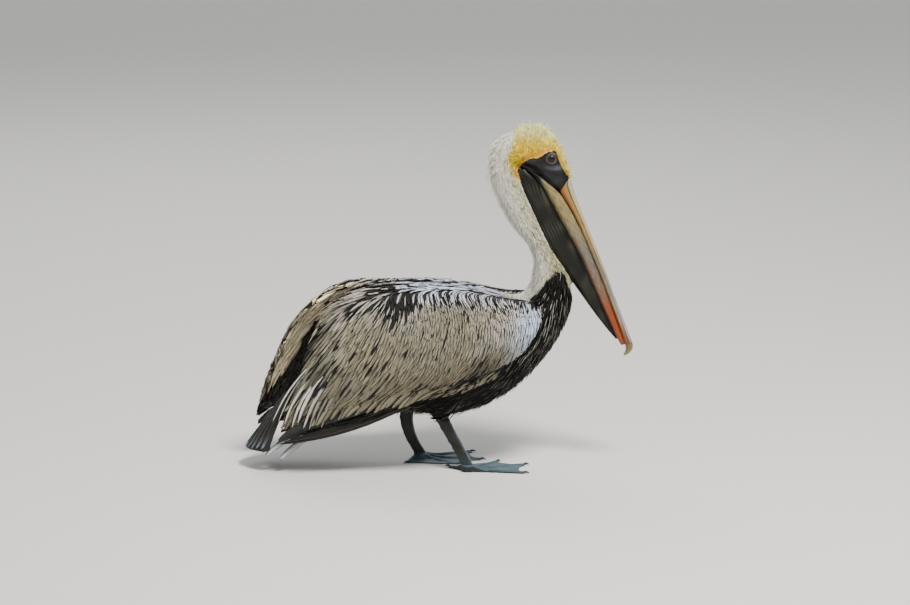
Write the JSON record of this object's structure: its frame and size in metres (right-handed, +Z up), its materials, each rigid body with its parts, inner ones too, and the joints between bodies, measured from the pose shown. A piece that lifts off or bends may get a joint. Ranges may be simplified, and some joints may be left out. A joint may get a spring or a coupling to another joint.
{
  "type": "brown pelican",
  "caption": "Life-size model of an adult brown pelican standing on both webbed feet, wings folded and bill pointing down.",
  "frame": {"origin": "centre of the box's footprint on the floor, with both soles at z = 0", "axes": "+X the way the bird faces, +Y its left side, +Z up"},
  "size_m": [0.6432, 0.2226, 0.5765],
  "materials": {
    "silver_plumage": "matte overlapping feathers, silver grey",
    "black_plumage": "matte feathers, black brown",
    "white_plumage": "short velvety feathers, off white",
    "yellow_crown": "short spiky feathers, straw yellow",
    "tail_plumage": "stiff feathers, dark grey",
    "bare_skin": "dull folded skin, slate black",
    "bill_horn": "satin horn, cream to orange",
    "bill_nail": "satin horn, greenish",
    "leg_skin": "scaly skin, blue grey",
    "claw_horn": "satin horn, black",
    "eye": "wet gloss, dark brown"
  },
  "bodies": {
    "root": {"bill_lower": "bill_horn", "bill_nail": "bill_nail", "bill_upper": "bill_horn", "claw_left_hind": "claw_horn", "claw_left_inner": "claw_horn", "claw_left_middle": "claw_horn", "claw_left_outer": "claw_horn", "claw_right_hind": "claw_horn", "claw_right_inner": "claw_horn", "claw_right_middle": "claw_horn", "claw_right_outer": "claw_horn", "eye_left": "eye", "eye_right": "eye", "foot_left": "leg_skin", "foot_right": "leg_skin", "head": "yellow_crown", "neck_lower": "white_plumage", "neck_upper": "white_plumage", "pouch": "bare_skin", "shank_left": "leg_skin", "shank_right": "leg_skin", "tail": "tail_plumage", "thigh_left": "black_plumage", "thigh_right": "black_plumage", "trunk": "black_plumage", "wing_left_coverts": "silver_plumage", "wing_left_primaries": "black_plumage", "wing_left_tertials": "silver_plumage", "wing_right_coverts": "silver_plumage", "wing_right_primaries": "black_plumage", "wing_right_tertials": "silver_plumage"}
  },
  "joints": []
}
